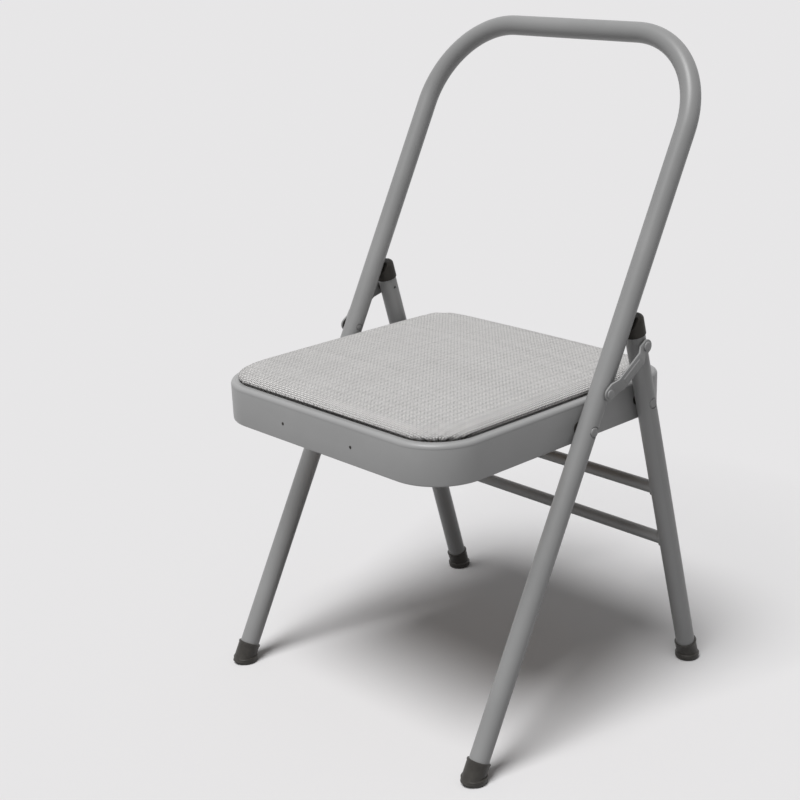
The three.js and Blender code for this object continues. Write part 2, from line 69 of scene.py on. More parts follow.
backdrop_colour = (0.83, 0.823, 0.83, 1)
dome_strength = 0.19
world = bpy.data.worlds.new("studio_dome")
bpy.context.scene.world = world
world.use_nodes = True
tree = world.node_tree
tree.nodes.clear()
rays = tree.nodes.new('ShaderNodeLightPath')
seen = tree.nodes.new('ShaderNodeMath')
seen.operation = 'MAXIMUM'
tree.links.new(rays.outputs['Is Camera Ray'], seen.inputs[0])
tree.links.new(rays.outputs['Is Glossy Ray'], seen.inputs[1])
clear = tree.nodes.new('ShaderNodeMath')
clear.operation = 'MAXIMUM'
tree.links.new(seen.outputs[0], clear.inputs[0])
tree.links.new(rays.outputs['Is Transmission Ray'], clear.inputs[1])
dome = tree.nodes.new('ShaderNodeBackground')
dome.inputs['Color'].default_value = (1, 1, 1, 1)
dome.inputs['Strength'].default_value = dome_strength
pale = tree.nodes.new('ShaderNodeBackground')
pale.inputs['Color'].default_value = backdrop_colour
pale.inputs['Strength'].default_value = 1
choice = tree.nodes.new('ShaderNodeMixShader')
tree.links.new(clear.outputs[0], choice.inputs['Fac'])
tree.links.new(dome.outputs[0], choice.inputs[1])
tree.links.new(pale.outputs[0], choice.inputs[2])
tree.links.new(choice.outputs[0], tree.nodes.new('ShaderNodeOutputWorld').inputs['Surface'])

bpy.ops.mesh.primitive_plane_add(size=80, location=(0, 0, 0))
floor = bpy.context.object
floor.name = "studio_floor"
ground = bpy.data.materials.new("pale_floor")
ground.use_nodes = True
ground_shader = ground.node_tree.nodes['Principled BSDF']
ground_shader.inputs['Roughness'].default_value = 1
ground_shader.inputs['Specular IOR Level'].default_value = 0
bounced = ground.node_tree.nodes.new('ShaderNodeLightPath').outputs['Is Diffuse Ray']
ground_tone = ground.node_tree.nodes.new('ShaderNodeMix')
ground_tone.data_type = 'RGBA'
ground_tone.inputs['A'].default_value = backdrop_colour
ground_tone.inputs['B'].default_value = (0.33, 0.327, 0.33, 1)
ground.node_tree.links.new(bounced, ground_tone.inputs['Factor'])
ground.node_tree.links.new(ground_tone.outputs['Result'], ground_shader.inputs['Base Color'])
floor.data.materials.append(ground)

# Front frame: one length of 25 mm steel tube, bent twice into the hoop that serves as a back.
# It leans back 28 degrees and is powder coated in satin grey after bending.


def powder_coat(name, tone, grain):
    """Sprayed and baked paint: faint orange peel, uneven gloss, sharp edges painted lighter as a
    highlight.
    """
    paint = bpy.data.materials.new(name)
    paint.use_nodes = True
    tree = paint.node_tree
    shader = tree.nodes['Principled BSDF']
    place = tree.nodes.new('ShaderNodeTexCoord').outputs['Object']
    cloud = tree.nodes.new('ShaderNodeTexNoise')
    cloud.inputs['Scale'].default_value = 14
    cloud.inputs['Detail'].default_value = 3
    tree.links.new(place, cloud.inputs['Vector'])
    shade = tree.nodes.new('ShaderNodeValToRGB')
    shade.color_ramp.elements[0].position = 0.3
    shade.color_ramp.elements[0].color = (tone[0] * 0.95, tone[1] * 0.95, tone[2] * 0.95, 1)
    shade.color_ramp.elements[1].position = 0.7
    shade.color_ramp.elements[1].color = (tone[0] * 1.04, tone[1] * 1.04, tone[2] * 1.04, 1)
    tree.links.new(cloud.outputs['Fac'], shade.inputs['Fac'])
    # Painted highlight: the sharp outer edges are made lighter than the rest of the paint.
    edge = tree.nodes.new('ShaderNodeNewGeometry').outputs['Pointiness']
    edge_highlight_mask = tree.nodes.new('ShaderNodeMapRange')
    edge_highlight_mask.inputs['From Min'].default_value = 0.54
    edge_highlight_mask.inputs['From Max'].default_value = 0.66
    edge_highlight_mask.inputs['To Max'].default_value = 0.3
    tree.links.new(edge, edge_highlight_mask.inputs['Value'])
    edge_highlight = tree.nodes.new('ShaderNodeMix')
    edge_highlight.data_type = 'RGBA'
    edge_highlight.inputs['B'].default_value = (tone[0] * 1.35, tone[1] * 1.35, tone[2] * 1.36, 1)
    tree.links.new(edge_highlight_mask.outputs['Result'], edge_highlight.inputs['Factor'])
    tree.links.new(shade.outputs['Color'], edge_highlight.inputs['A'])
    tree.links.new(edge_highlight.outputs['Result'], shader.inputs['Base Color'])
    gloss = tree.nodes.new('ShaderNodeMapRange')
    gloss.inputs['To Min'].default_value = 0.34
    gloss.inputs['To Max'].default_value = 0.46
    tree.links.new(cloud.outputs['Fac'], gloss.inputs['Value'])
    tree.links.new(gloss.outputs['Result'], shader.inputs['Roughness'])
    peel = tree.nodes.new('ShaderNodeTexNoise')
    peel.inputs['Scale'].default_value = grain
    peel.inputs['Detail'].default_value = 2
    tree.links.new(place, peel.inputs['Vector'])
    bump = tree.nodes.new('ShaderNodeBump')
    bump.inputs['Strength'].default_value = 0.12
    bump.inputs['Distance'].default_value = 0.0006
    tree.links.new(peel.outputs['Fac'], bump.inputs['Height'])
    tree.links.new(bump.outputs['Normal'], shader.inputs['Normal'])
    return paint


def dress(piece, name, finish, slot, body, *replaced):
    """Gives a finished piece its name, its finish and the part of the chair that it moves with."""
    piece.name = name
    piece.data.name = name
    piece.data.materials.clear()
    piece.data.materials.append(finish)
    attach(piece, body)
    if replaced:
        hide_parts(*replaced)
    return piece


def close_up(smooth_angle):
    """Leaves edit mode with doubles merged, faces out and the soft edges shaded smooth."""
    bpy.ops.mesh.select_all(action='SELECT')
    bpy.ops.mesh.remove_doubles(threshold=0.00001)
    bpy.ops.mesh.normals_make_consistent(inside=False)
    bpy.ops.object.mode_set(mode='OBJECT')
    bpy.ops.object.shade_smooth_by_angle(angle=math.radians(smooth_angle))


tube_radius = 0.0125
leg_x = 0.2181
front_lean = math.radians(28)
front_floor_y = -0.2093293
front_end = 0.01095
hoop_top = 0.8125
hoop_bend = 0.116
tube_sides = 64
grey_paint = powder_coat("satin_grey_paint", (0.302, 0.303, 0.303), 900)

up_front = Vector((0, math.sin(front_lean), math.cos(front_lean)))
straight = hoop_top / math.cos(front_lean) - hoop_bend - front_end
bend_axis = Vector((0, -math.cos(front_lean), math.sin(front_lean)))
foot_left = Vector((-leg_x, front_floor_y, 0)) + up_front * front_end
bpy.ops.mesh.primitive_circle_add(vertices=tube_sides, radius=tube_radius, fill_type='NGON',
                                  location=foot_left, rotation=(-front_lean, 0, 0))
bpy.ops.object.transform_apply(location=True, rotation=True, scale=True)
bpy.ops.object.mode_set(mode='EDIT')
bpy.ops.mesh.extrude_region_move(TRANSFORM_OT_translate={"value": up_front * straight})
bend_at = foot_left + up_front * straight + Vector((hoop_bend, 0, 0))
bpy.ops.mesh.spin(steps=28, angle=math.pi / 2, center=bend_at, axis=bend_axis)
across = Vector((2 * (leg_x - hoop_bend), 0, 0))
bpy.ops.mesh.extrude_region_move(TRANSFORM_OT_translate={"value": across})
bpy.ops.mesh.spin(steps=28, angle=math.pi / 2, center=bend_at + across, axis=bend_axis)
bpy.ops.mesh.extrude_region_move(TRANSFORM_OT_translate={"value": -up_front * straight})
close_up(40)
hoop = bpy.context.object
bpy.ops.object.select_all(action='DESELECT')


def turned(stations, sides, place, turn):
    """A round piece: a disc at the first (height, radius), drawn through the rest, then placed."""
    height, radius = stations[0]
    bpy.ops.mesh.primitive_circle_add(vertices=sides, radius=radius, fill_type='NGON',
                                      location=(0, 0, height))
    bpy.ops.object.transform_apply(location=True, rotation=False, scale=False)
    bpy.ops.object.mode_set(mode='EDIT')
    for next_height, next_radius in stations[1:]:
        rise = Vector((0, 0, next_height - height))
        bpy.ops.mesh.extrude_region_move(TRANSFORM_OT_translate={"value": rise})
        spread = next_radius / radius
        bpy.ops.transform.resize(value=(spread, spread, 1), center_override=(0, 0, 0))
        height, radius = next_height, next_radius
    close_up(40)
    piece = bpy.context.object
    piece.rotation_euler = turn
    piece.location = place
    bpy.ops.object.transform_apply(location=True, rotation=True, scale=True)
    return piece


def join_solids(piece, other, act):
    """Adds another solid to a piece, or takes it away from the piece."""
    bpy.ops.object.select_all(action='DESELECT')
    piece.select_set(True)
    bpy.context.view_layer.objects.active = piece
    bpy.ops.object.modifier_add(type='BOOLEAN')
    joint = piece.modifiers[-1]
    joint.operation = act
    joint.object = other
    joint.solver = 'EXACT'
    bpy.ops.object.modifier_apply(modifier=joint.name)
    bpy.data.objects.remove(other)


seat_front = (-0.0056846, 0.383)
seat_rear = (0.1048154, 0.391)
link_lower = (0.0166470, 0.425)
link_upper = (0.0841740, 0.468033)
tube_outer = leg_x + tube_radius
tube_inner = leg_x - tube_radius
rivet_bore = 0.00315
flat_radius = 0.0071
flat_depth = 0.0016


def rivet_cut(sign, y, z, inside, outside):
    """Drills a leg for a rivet, with a (depth, radius) pocket in its inner and its outer wall."""
    return turned([(tube_inner - 0.003, inside[1]), (tube_inner + inside[0], inside[1]),
                   (tube_inner + inside[0], rivet_bore), (tube_outer - outside[0], rivet_bore),
                   (tube_outer - outside[0], outside[1]), (tube_outer + 0.003, outside[1])], 40,
                  (0, y, z), (0, sign * math.pi / 2, 0))


for sign in (-1, 1):
    join_solids(hoop, rivet_cut(sign, *seat_front, (0.001, 0.0035), (flat_depth, flat_radius)),
                'DIFFERENCE')
    join_solids(hoop, rivet_cut(sign, *link_lower, (0.0013, 0.0052), (0.001, 0.0033)),
                'DIFFERENCE')
bpy.ops.object.shade_smooth_by_angle(angle=math.radians(30))
dress(hoop, "hoop_tube", grey_paint, "frame_paint", "front_frame", "front_frame")
bpy.ops.object.select_all(action='DESELECT')

# Rear legs: two straight lengths of the same tube, leaning forwards 15 degrees, each with its
# upper end under a plastic cap. Two thinner cross bars are coped and welded between them.

rear_lean = math.radians(15)
rear_floor_y = 0.2095836
rear_end = 0.0072834
rear_top = 0.5079437
tube_wall = 0.0015
for side, x in (("left", -leg_x), ("right", leg_x)):
    leg = turned([(rear_end + 0.01, tube_radius - tube_wall), (rear_end, tube_radius - tube_wall),
                  (rear_end, tube_radius), (rear_top, tube_radius),
                  (rear_top, tube_radius - tube_wall), (rear_top - 0.01, tube_radius - tube_wall)],
                 tube_sides, (x, rear_floor_y, 0), (rear_lean, 0, 0))
    join_solids(leg, rivet_cut(x / leg_x, *seat_rear, (0.001, 0.0035), (flat_depth, flat_radius)),
                'DIFFERENCE')
    join_solids(leg, rivet_cut(x / leg_x, *link_upper, (0.003, 0.0019), (0.001, 0.0033)),
                'DIFFERENCE')
    bpy.ops.object.shade_smooth_by_angle(angle=math.radians(30))
    dress(leg, f"rear_tube_{side}", grey_paint, "frame_paint", "rear_legs", f"rear_leg_{side}")
    bpy.ops.object.select_all(action='DESELECT')

bar_radius = 0.008
bar_reach = leg_x - tube_radius * 0.7
bead_radius = 0.0016
for name, z in (("upper", 0.2645), ("lower", 0.1873)):
    y = rear_floor_y - z * math.tan(rear_lean)
    bar = turned([(-bar_reach, bar_radius), (bar_reach, bar_radius)], 40,
                 (0, y, z), (0, math.pi / 2, 0))
    for sign in (-1, 1):
        bpy.ops.mesh.primitive_torus_add(major_radius=bar_radius + bead_radius * 0.4,
                                         minor_radius=bead_radius, major_segments=96,
                                         minor_segments=12, rotation=(0, math.pi / 2, 0))
        bpy.ops.object.transform_apply(location=True, rotation=True, scale=True)
        bead = bpy.context.object
        for point in bead.data.vertices:
            offset = point.co.y * math.cos(rear_lean) + point.co.z * math.sin(rear_lean)
            reach = leg_x - math.sqrt(tube_radius ** 2 - offset ** 2) - bead_radius * 0.3
            turn = math.atan2(point.co.z, point.co.y)
            swell = 1 + 0.14 * math.sin(turn * 22 + sign)
            ring = Vector((0, math.cos(turn), math.sin(turn))) * (bar_radius + bead_radius * 0.4)
            point.co = ring + (point.co - ring) * swell
            point.co += Vector((sign * reach, y, z))
        bpy.ops.object.shade_smooth()
        bar.select_set(True)
        bpy.context.view_layer.objects.active = bar
        bpy.ops.object.join()
        bpy.ops.object.select_all(action='DESELECT')
        bar.select_set(True)
    dress(bar, f"welded_bar_{name}", grey_paint, "frame_paint", "rear_legs",
          f"rear_crossbar_{name}")
    bpy.ops.object.select_all(action='DESELECT')

# Leg caps: soft black nylon cups pushed over the rear tubes. Each has a rounded head and a
# slanted flat that comes to rest against the front tube when the chair is open.
nylon = bpy.data.materials.new("black_nylon")
nylon.use_nodes = True
tree = nylon.node_tree
shader = tree.nodes['Principled BSDF']
place = tree.nodes.new('ShaderNodeTexCoord').outputs['Object']
spark = tree.nodes.new('ShaderNodeTexNoise')
spark.inputs['Scale'].default_value = 1500
spark.inputs['Detail'].default_value = 2
tree.links.new(place, spark.inputs['Vector'])
haze = tree.nodes.new('ShaderNodeTexNoise')
haze.inputs['Scale'].default_value = 60
haze.inputs['Detail'].default_value = 4
tree.links.new(place, haze.inputs['Vector'])
dust = tree.nodes.new('ShaderNodeValToRGB')
dust.color_ramp.elements[0].position = 0.35
dust.color_ramp.elements[0].color = (0.038, 0.035, 0.031, 1)
dust.color_ramp.elements[1].position = 0.75
dust.color_ramp.elements[1].color = (0.056, 0.052, 0.047, 1)
tree.links.new(haze.outputs['Fac'], dust.inputs['Fac'])
tree.links.new(dust.outputs['Color'], shader.inputs['Base Color'])
shader.inputs['Roughness'].default_value = 0.5
shader.inputs['Specular IOR Level'].default_value = 0.15
bump = tree.nodes.new('ShaderNodeBump')
bump.inputs['Strength'].default_value = 0.25
bump.inputs['Distance'].default_value = 0.0002
tree.links.new(spark.outputs['Fac'], bump.inputs['Height'])
tree.links.new(bump.outputs['Normal'], shader.inputs['Normal'])


def soften(width, steps, angle):
    """Rounds a piece's edges with a bevel of a given width, where its faces meet at an angle."""
    bpy.ops.object.modifier_add(type='BEVEL')
    rounding = bpy.context.object.modifiers[-1]
    rounding.width = width
    rounding.segments = steps
    rounding.limit_method = 'ANGLE'
    rounding.angle_limit = math.radians(angle)
    bpy.ops.object.modifier_apply(modifier=rounding.name)


cap_bore = tube_radius + 0.0003
cap_radius = cap_bore + 0.001
cap_low = rear_top - 0.010
cap_high = rear_top + 0.0143
cap_round = 0.005
stop_offset = tube_radius + 0.0004
across_front = Vector((0, math.cos(front_lean), -math.sin(front_lean)))
for side, x in (("left", -leg_x), ("right", leg_x)):
    head = [(cap_high - cap_round * (1 - math.sin(step * math.pi / 16)),
             cap_radius - cap_round * (1 - math.cos(step * math.pi / 16))) for step in range(9)]
    cap = turned([(rear_top + 0.0003, cap_bore), (cap_low, cap_bore), (cap_low, cap_radius),
                  *head], tube_sides, (x, rear_floor_y, 0), (rear_lean, 0, 0))
    bpy.ops.object.mode_set(mode='EDIT')
    bpy.ops.mesh.select_all(action='SELECT')
    front_axis = Vector((x, front_floor_y, 0))
    bpy.ops.mesh.bisect(plane_co=front_axis + across_front * stop_offset,
                        plane_no=across_front, use_fill=True, clear_inner=True)
    bpy.ops.object.mode_set(mode='OBJECT')
    soften(0.0005, 3, 35)
    bpy.ops.object.shade_smooth_by_angle(angle=math.radians(35))
    dress(cap, f"tube_cap_{side}", nylon, "cap_plastic", "rear_legs", f"rear_leg_cap_{side}")

# Feet: moulded grey-brown rubber, a sleeve along each leaning tube on a wider base that is
# level with the floor. A small ledge runs round where the sleeve meets the base.
rubber = bpy.data.materials.new("grey_brown_rubber")
rubber.use_nodes = True
tree = rubber.node_tree
shader = tree.nodes['Principled BSDF']
place = tree.nodes.new('ShaderNodeTexCoord').outputs['Object']
scuff = tree.nodes.new('ShaderNodeTexNoise')
scuff.inputs['Scale'].default_value = 110
scuff.inputs['Detail'].default_value = 6
scuff.inputs['Roughness'].default_value = 0.65
tree.links.new(place, scuff.inputs['Vector'])
tone = tree.nodes.new('ShaderNodeValToRGB')
tone.color_ramp.elements[0].position = 0.35
tone.color_ramp.elements[0].color = (0.040, 0.037, 0.033, 1)
tone.color_ramp.elements[1].position = 0.72
tone.color_ramp.elements[1].color = (0.062, 0.058, 0.052, 1)
tree.links.new(scuff.outputs['Fac'], tone.inputs['Fac'])
tree.links.new(tone.outputs['Color'], shader.inputs['Base Color'])
shader.inputs['Roughness'].default_value = 0.42
shader.inputs['Specular IOR Level'].default_value = 0.35
bump = tree.nodes.new('ShaderNodeBump')
bump.inputs['Strength'].default_value = 0.35
bump.inputs['Distance'].default_value = 0.0005
tree.links.new(scuff.outputs['Fac'], bump.inputs['Height'])
tree.links.new(bump.outputs['Normal'], shader.inputs['Normal'])

sleeve_radius = cap_bore + 0.0013
base_radius = sleeve_radius + 0.002
sleeve_top = 0.0277
base_top = 0.0085
sole = 0.0035
for body, end, floor_y, lean in (("front_frame", "front", front_floor_y, front_lean),
                                 ("rear_legs", "rear", rear_floor_y, -rear_lean)):
    bore_start = (sole + tube_radius * math.sin(abs(lean))) / math.cos(lean)
    base_y = floor_y + math.tan(lean) * base_top
    for side, x in (("left", -leg_x), ("right", leg_x)):
        foot = turned([(0, base_radius - 0.0030), (0.0009, base_radius - 0.0028),
                       (0.0010, base_radius - 0.0011), (0.0022, base_radius - 0.0004),
                       (0.0045, base_radius), (base_top - 0.0006, base_radius),
                       (base_top, base_radius - 0.0005), (base_top + 0.0003, sleeve_radius),
                       (base_top + 0.0008, sleeve_radius - 0.001)],
                      tube_sides, (x, base_y, 0), (0, 0, 0))
        bpy.ops.object.select_all(action='DESELECT')
        sleeve = turned([(-sleeve_top, sleeve_radius), (sleeve_top - 0.0032, sleeve_radius),
                         (sleeve_top - 0.0018, sleeve_radius + 0.0006),
                         (sleeve_top - 0.0004, sleeve_radius + 0.0006),
                         (sleeve_top, sleeve_radius + 0.0002)],
                        tube_sides, (x, floor_y, 0), (-lean, 0, 0))
        bpy.ops.object.mode_set(mode='EDIT')
        bpy.ops.mesh.select_all(action='SELECT')
        bpy.ops.mesh.bisect(plane_co=(x, floor_y, base_top - 0.004), plane_no=(0, 0, 1),
                            use_fill=True, clear_inner=True)
        bpy.ops.object.mode_set(mode='OBJECT')
        bpy.ops.object.select_all(action='DESELECT')
        bore = turned([(bore_start, cap_bore), (sleeve_top + 0.01, cap_bore)], tube_sides,
                      (x, floor_y, 0), (-lean, 0, 0))
        join_solids(foot, sleeve, 'UNION')
        join_solids(foot, bore, 'DIFFERENCE')
        soften(0.0005, 3, 30)
        bpy.ops.object.shade_smooth_by_angle(angle=math.radians(35))
        dress(foot, f"rubber_foot_{end}_{side}", rubber, "foot_rubber", body,
              f"{end}_foot_{side}")
        bpy.ops.object.select_all(action='DESELECT')

# Seat pan: a shallow dish pressed from 1.2 mm sheet, with wide rounded corners, a rolled top
# edge, a recess that the pad drops into and a hem turned in along the bottom of its apron.


def pick(kind, test):
    """In edit mode, selects the corners, edges or faces that pass a test, and nothing else."""
    bpy.ops.mesh.select_mode(type=kind)
    bpy.ops.mesh.select_all(action='DESELECT')
    shape = bmesh.from_edit_mesh(bpy.context.object.data)
    for part in {'VERT': shape.verts, 'EDGE': shape.edges, 'FACE': shape.faces}[kind]:
        if test(part):
            part.select_set(True)
    bmesh.update_edit_mesh(bpy.context.object.data)


def rounded_plate(width, depth, centre_y, z, front_radius, rear_radius, steps):
    """A flat plate in edit mode, its corners rounded to the front and rear radii, all selected."""
    bpy.ops.mesh.primitive_plane_add(size=1, location=(0, centre_y, z))
    plate = bpy.context.object
    plate.scale = (width, depth, 1)
    bpy.ops.object.transform_apply(location=True, rotation=True, scale=True)
    bpy.ops.object.mode_set(mode='EDIT')
    for end, radius in ((-1, front_radius), (1, rear_radius)):
        pick('VERT', lambda v: abs(v.co.y - centre_y - end * depth / 2) < 0.00001)
        bpy.ops.mesh.bevel(offset=radius, offset_type='OFFSET', affect='VERTICES',
                           segments=steps, profile=0.5, clamp_overlap=False)
    bpy.ops.mesh.select_all(action='SELECT')
    return plate


def climb(rise, spread, centre_y):
    """Draws the selected face up by a rise and widens it by a share about the seat's middle."""
    bpy.ops.mesh.extrude_region_move(TRANSFORM_OT_translate={"value": (0, 0, rise)})
    bpy.ops.transform.resize(value=(spread, spread, 1), center_override=(0, centre_y, 0))


pan_width = 0.408
pan_front = -0.2351846
pan_centre_y = pan_front + pan_width / 2
pan_bottom = 0.365
pan_top = 0.4145
sheet = 0.0012
edge_round = 0.005
crease = 0.00012
recess_inset = 0.0116
recess_depth = 0.0115
front_corner = 0.066
rear_corner = 0.042
pan = rounded_plate(pan_width, pan_width, pan_centre_y, pan_bottom, front_corner, rear_corner, 24)
narrow = 1 - 2 * crease / pan_width
climb(pan_top - pan_bottom - edge_round - 0.0019, 1, pan_centre_y)
climb(0.0007, narrow, pan_centre_y)
climb(0.0003, 1, pan_centre_y)
climb(0.0007, 1 / narrow, pan_centre_y)
climb(edge_round + 0.0002, 1, pan_centre_y)
pick('EDGE', lambda e: all(abs(v.co.z - pan_top) < 0.00001 for v in e.verts))
bpy.ops.mesh.bevel(offset=edge_round, segments=8, profile=0.5, clamp_overlap=False)
pick('FACE', lambda f: f.normal.z > 0.99 and f.calc_area() > 0.05)
bpy.ops.mesh.inset(thickness=recess_inset - edge_round)
bpy.ops.mesh.extrude_region_move(TRANSFORM_OT_translate={"value": (0, 0, -recess_depth)})
bpy.ops.mesh.inset(thickness=0.030)
bpy.ops.mesh.delete(type='FACE')
pick('FACE', lambda f: f.normal.z < -0.99 and f.calc_area() > 0.05)
bpy.ops.mesh.inset(thickness=0.008)
bpy.ops.mesh.delete(type='FACE')
pick('EDGE', lambda e: all(abs(v.co.z - pan_top) < 0.00001 for v in e.verts)
     and any(abs(f.normal.z) < 0.1 for f in e.link_faces))
bpy.ops.mesh.bevel(offset=0.0026, segments=6, profile=0.5, clamp_overlap=False)
pick('EDGE', lambda e: len(e.link_faces) == 2
     and all(abs(v.co.z - pan_bottom) < 0.00001 for v in e.verts)
     and any(abs(f.normal.z) < 0.1 for f in e.link_faces))
bpy.ops.mesh.bevel(offset=0.0018, segments=5, profile=0.5, clamp_overlap=False)
pick('EDGE', lambda e: len(e.link_faces) == 2
     and all(abs(v.co.z - pan_top + recess_depth) < 0.00001 for v in e.verts)
     and any(abs(f.normal.z) < 0.1 for f in e.link_faces))
bpy.ops.mesh.bevel(offset=0.0015, segments=4, profile=0.5, clamp_overlap=False)
close_up(40)
bpy.ops.object.modifier_add(type='SOLIDIFY')
wall = pan.modifiers[-1]
wall.thickness = sheet
wall.offset = -1
wall.use_even_offset = True
bpy.ops.object.modifier_apply(modifier=wall.name)
bpy.ops.object.select_all(action='DESELECT')
small_hole_z = pan_bottom + 0.022
for x in (-0.061, 0.061):
    drill = turned([(-0.006, 0.002), (0.006, 0.002)], 24, (x, pan_front, small_hole_z),
                   (math.pi / 2, 0, 0))
    join_solids(pan, drill, 'DIFFERENCE')
for sign in (-1, 1):
    for y, z in (seat_front, seat_rear):
        drill = turned([(-0.006, rivet_bore), (0.006, rivet_bore)], 24,
                       (sign * pan_width / 2, y, z), (0, math.pi / 2, 0))
        join_solids(pan, drill, 'DIFFERENCE')
bpy.ops.object.shade_smooth_by_angle(angle=math.radians(30))
# The pan and the pivot plates take the frame's grey made lighter. This is painted light, standing
# in for more light on the pan's upright sides.
lightened_pan_paint = powder_coat("lightened_grey_paint", (0.385, 0.386, 0.386), 700)
dress(pan, "pressed_seat_pan", lightened_pan_paint, "frame_paint", "seat", "seat_pan")
bpy.ops.object.select_all(action='DESELECT')

# Two small black plugs close the holes in the front of the apron from behind. The plugs are
# guessed, and their black is partly painted shade, put in for the dark inside the pan that shows
# through the holes.
for name, x in (("left", -0.061), ("right", 0.061)):
    plug = turned([(-0.0006, 0.0019), (0.0010, 0.0019), (0.0010, 0.0034), (0.0020, 0.0034),
                   (0.0024, 0.0030)], 24, (x, pan_front + 0.0004, small_hole_z),
                  (-math.pi / 2, 0, 0))
    dress(plug, f"hole_plug_{name}", nylon, "cap_plastic", "seat")
    bpy.ops.object.select_all(action='DESELECT')
for side in ("left", "right"):
    nodes[f"pivot_plate_{side}"].material_slots[0].material = lightened_pan_paint

# Pad: pale grey linen drawn over foam on a plywood board, dropped into the pan. Its sides bulge
# a little over the rim and its top is crowned. The cloth is a coarse weave.
pad_inset = 0.0122
pad_width = pan_width - 2 * pad_inset
pad_bottom = pan_top - recess_depth + 0.0003
crown = 0.0072
crown_start = 0.010
side_bulge = 0.0025
groove_low, groove_high = 0.4137, 0.4167
groove_draw = 0.0030
groove_sag = 0.0013
lip_top, lip_height = 0.4200, 0.003
lip_sag = 0.0009
shoulder = 0.4264
shoulder_inset = 0.036
unroll = 5000
pad = rounded_plate(pad_width, pad_width, pan_centre_y, pad_bottom, front_corner - pad_inset,
                    rear_corner - pad_inset, 16)
reach = pad_width
for z, inset in ((0.4149, 0.0122), (0.4160, 0.0104), (0.4178, 0.0098), (0.4198, 0.0106),
                 (0.4218, 0.0130), (0.4234, 0.0164), (0.4247, 0.0207), (0.4257, 0.0261),
                 (shoulder, 0.0330)):
    rise = z - max(point.co.z for point in bmesh.from_edit_mesh(pad.data).verts)
    climb(rise, (pan_width - 2 * inset) / reach, pan_centre_y)
    reach = pan_width - 2 * inset
close_up(60)
pad.data.remesh_voxel_size = 0.003
pad.data.remesh_voxel_adaptivity = 0
bpy.ops.object.voxel_remesh()
half = pan_width / 2 - 0.010
for point in pad.data.vertices:
    if groove_low < point.co.z < groove_high:
        point.co.x *= 1 - groove_draw / half
        point.co.y = pan_centre_y + (point.co.y - pan_centre_y) * (1 - groove_draw / half)
        point.co.z -= groove_sag
    elif point.co.z > pan_top:
        part_x = point.co.x / half
        part_y = (point.co.y - pan_centre_y) / half
        bow_x = max(0, 1 - part_x ** 2)
        bow_y = max(0, 1 - part_y ** 2)
        point.co.x += side_bulge * part_x ** 7 * bow_y
        point.co.y += side_bulge * part_y ** 7 * bow_x
        point.co.z -= lip_sag * max(0, min(1, (lip_top - point.co.z) / lip_height))
        point.co.z += crown * min(1, (point.co.z - pan_top) / crown_start) * bow_x * bow_y

# The weave follows the cloth over the pad's edge: each point's place is unrolled outwards
# by as much as the cloth between it and the flat top is longer than its plan.
unrolled = pad.data.uv_layers.new(name="cloth")
core = pan_width / 2 - shoulder_inset
spots = []
for point in pad.data.vertices:
    deep = point.co.y - pan_centre_y
    near_x = max(-core, min(core, point.co.x))
    near_y = max(-core, min(core, deep))
    out = Vector((point.co.x - near_x, deep - near_y))
    drop = max(0, shoulder - point.co.z)
    longer = out.normalized() * (unroll * drop ** 3) if out.length > 0 else out
    spots.append(Vector((point.co.x, deep)) + longer)
for loop in pad.data.loops:
    unrolled.data[loop.index].uv = spots[loop.vertex_index]

# The cloth run lets the foam push the cover up a little. The cover is held below the rim.
most = 0.0007
start = [point.co.copy() for point in pad.data.vertices]
held = pad.vertex_groups.new(name="held")
held.add([point.index for point in pad.data.vertices if point.co.z < pan_top],
         1, 'REPLACE')
bpy.ops.object.modifier_add(type='CLOTH')
cloth = pad.modifiers[-1]
cloth.settings.quality = 5
cloth.settings.mass = 0.3
cloth.settings.tension_stiffness = 30
cloth.settings.compression_stiffness = 30
cloth.settings.bending_stiffness = 2
cloth.settings.use_pressure = True
cloth.settings.uniform_pressure_force = 4
cloth.settings.vertex_group_mass = "held"
cloth.settings.effector_weights.gravity = 0
cloth.point_cache.frame_start = 1
cloth.point_cache.frame_end = 12
for step in range(1, 13):
    bpy.context.scene.frame_set(step)
bpy.ops.object.modifier_apply(modifier=cloth.name)
for point, first in zip(pad.data.vertices, start):
    shift = point.co - first
    if shift.length > most:
        point.co = first + shift.normalized() * most
bpy.context.scene.frame_set(1)

linen = bpy.data.materials.new("pale_grey_linen")
linen.use_nodes = True
tree = linen.node_tree
shader = tree.nodes['Principled BSDF']
thread = 0.00292


def figure(act, first, second=0.0):
    """A Math node on numbers or on other nodes' results."""
    node = tree.nodes.new('ShaderNodeMath')
    node.operation = act
    for socket, value in zip(node.inputs, (first, second)):
        if isinstance(value, (int, float)):
            socket.default_value = value
        else:
            tree.links.new(value, socket)
    return node.outputs[0]


place = tree.nodes.new('ShaderNodeTexCoord').outputs['Object']
cloth_place = tree.nodes.new('ShaderNodeUVMap')
cloth_place.uv_map = "cloth"
stray = tree.nodes.new('ShaderNodeTexNoise')
stray.inputs['Scale'].default_value = 60
stray.inputs['Detail'].default_value = 3
tree.links.new(place, stray.inputs['Vector'])
wander = tree.nodes.new('ShaderNodeVectorMath')
wander.operation = 'MULTIPLY_ADD'
wander.inputs[1].default_value = (0.0016, 0.0016, 0)
tree.links.new(stray.outputs['Color'], wander.inputs[0])
tree.links.new(cloth_place.outputs['UV'], wander.inputs[2])
split = tree.nodes.new('ShaderNodeSeparateXYZ')
tree.links.new(wander.outputs[0], split.inputs[0])
warp = figure('DIVIDE', split.outputs['X'], thread)
weft = figure('DIVIDE', split.outputs['Y'], thread)
warp_number = figure('FLOOR', warp)
weft_number = figure('FLOOR', weft)
from_warp = figure('SUBTRACT', figure('FRACT', warp), 0.5)
from_weft = figure('SUBTRACT', figure('FRACT', weft), 0.5)
